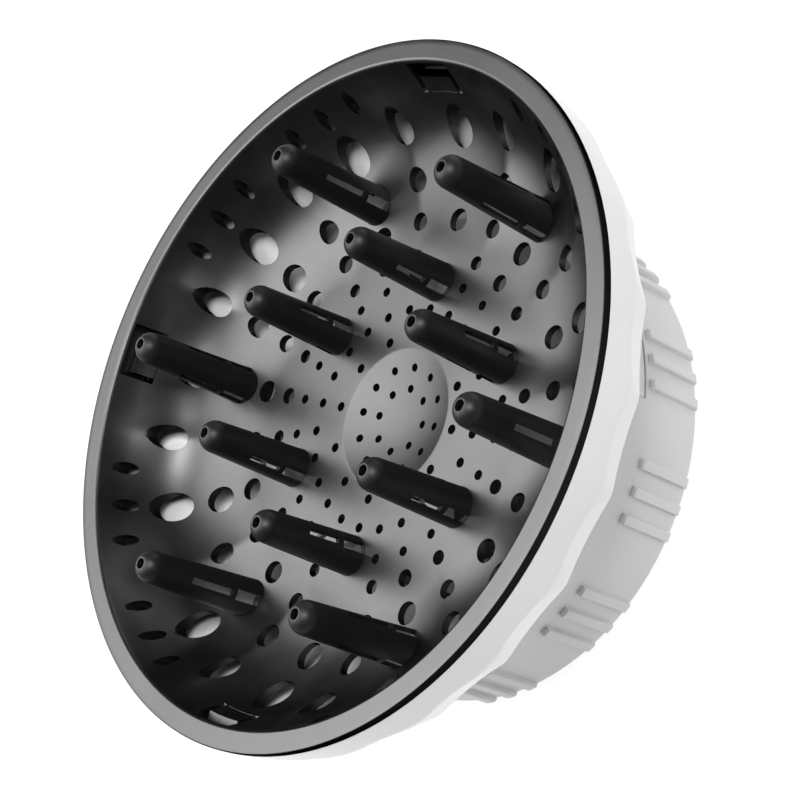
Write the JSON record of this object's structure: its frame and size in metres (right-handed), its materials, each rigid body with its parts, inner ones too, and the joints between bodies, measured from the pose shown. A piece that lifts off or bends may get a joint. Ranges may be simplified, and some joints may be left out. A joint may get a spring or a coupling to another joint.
{
  "type": "hair dryer diffuser",
  "caption": "Round hair-dryer diffuser: perforated petal bowl with hollow fingers, white outer shell and a ribbed grip ring that closes sliding jaws on the dryer's nozzle.",
  "frame": {"origin": "centre of the grip ring's rear face, which is the lowest point of the part", "axes": "+Z along the diffuser's axis from the rear towards the fingers; +X through outer finger 1 and jaw 1"},
  "size_m": [0.1708, 0.1708, 0.0738],
  "materials": {
    "bowl_plastic": "satin",
    "finger_plastic": "satin",
    "white_shell_plastic": "gloss",
    "grip_plastic": "satin",
    "mechanism_plastic": "matte",
    "silicone": "matte",
    "seal_rubber": "matte",
    "screw_steel": "satin"
  },
  "bodies": {
    "root": {"finger_bowl": "bowl_plastic", "outer_shell": "white_shell_plastic", "jaw_guide": "mechanism_plastic", "friction_o_ring": "seal_rubber", "guide_screws": "screw_steel", "finger_outer_1": "finger_plastic", "finger_outer_2": "finger_plastic", "finger_outer_3": "finger_plastic", "finger_outer_4": "finger_plastic", "finger_outer_5": "finger_plastic", "finger_outer_6": "finger_plastic", "finger_inner_1": "finger_plastic", "finger_inner_2": "finger_plastic", "finger_inner_3": "finger_plastic", "finger_inner_4": "finger_plastic", "finger_inner_5": "finger_plastic", "finger_inner_6": "finger_plastic"},
    "grip": {"grip_ring": "grip_plastic", "cam_plate": "grip_plastic", "cam_screws": "screw_steel"},
    "jaw_1_unit": {"jaw_1": "mechanism_plastic", "jaw_pad_1": "silicone"},
    "jaw_2_unit": {"jaw_2": "mechanism_plastic", "jaw_pad_2": "silicone"},
    "jaw_3_unit": {"jaw_3": "mechanism_plastic", "jaw_pad_3": "silicone"},
    "jaw_4_unit": {"jaw_4": "mechanism_plastic", "jaw_pad_4": "silicone"},
    "jaw_5_unit": {"jaw_5": "mechanism_plastic", "jaw_pad_5": "silicone"},
    "jaw_6_unit": {"jaw_6": "mechanism_plastic", "jaw_pad_6": "silicone"}
  },
  "joints": [
    {"name": "grip_turn", "type": "hinge", "parent": "root", "child": "grip", "pos_m": [0, 0, 0], "axis": [0, 0, -1], "range_deg": [0, 80]},
    {"name": "jaw_1_slide", "type": "slide", "parent": "root", "child": "jaw_1_unit", "axis": [-1, 0, 0], "range_m": [0, 0.0115]},
    {"name": "jaw_2_slide", "type": "slide", "parent": "root", "child": "jaw_2_unit", "axis": [-0.5, -0.866, 0], "range_m": [0, 0.0115]},
    {"name": "jaw_3_slide", "type": "slide", "parent": "root", "child": "jaw_3_unit", "axis": [0.5, -0.866, 0], "range_m": [0, 0.0115]},
    {"name": "jaw_4_slide", "type": "slide", "parent": "root", "child": "jaw_4_unit", "axis": [1, 0, 0], "range_m": [0, 0.0115]},
    {"name": "jaw_5_slide", "type": "slide", "parent": "root", "child": "jaw_5_unit", "axis": [0.5, 0.866, 0], "range_m": [0, 0.0115]},
    {"name": "jaw_6_slide", "type": "slide", "parent": "root", "child": "jaw_6_unit", "axis": [-0.5, 0.866, 0], "range_m": [0, 0.0115]}
  ],
  "couplings": [
    {"joint": "jaw_1_slide", "follows": "grip_turn", "m_per_rad": 0.0082363},
    {"joint": "jaw_2_slide", "follows": "grip_turn", "m_per_rad": 0.0082363},
    {"joint": "jaw_3_slide", "follows": "grip_turn", "m_per_rad": 0.0082363},
    {"joint": "jaw_4_slide", "follows": "grip_turn", "m_per_rad": 0.0082363},
    {"joint": "jaw_5_slide", "follows": "grip_turn", "m_per_rad": 0.0082363},
    {"joint": "jaw_6_slide", "follows": "grip_turn", "m_per_rad": 0.0082363}
  ]
}
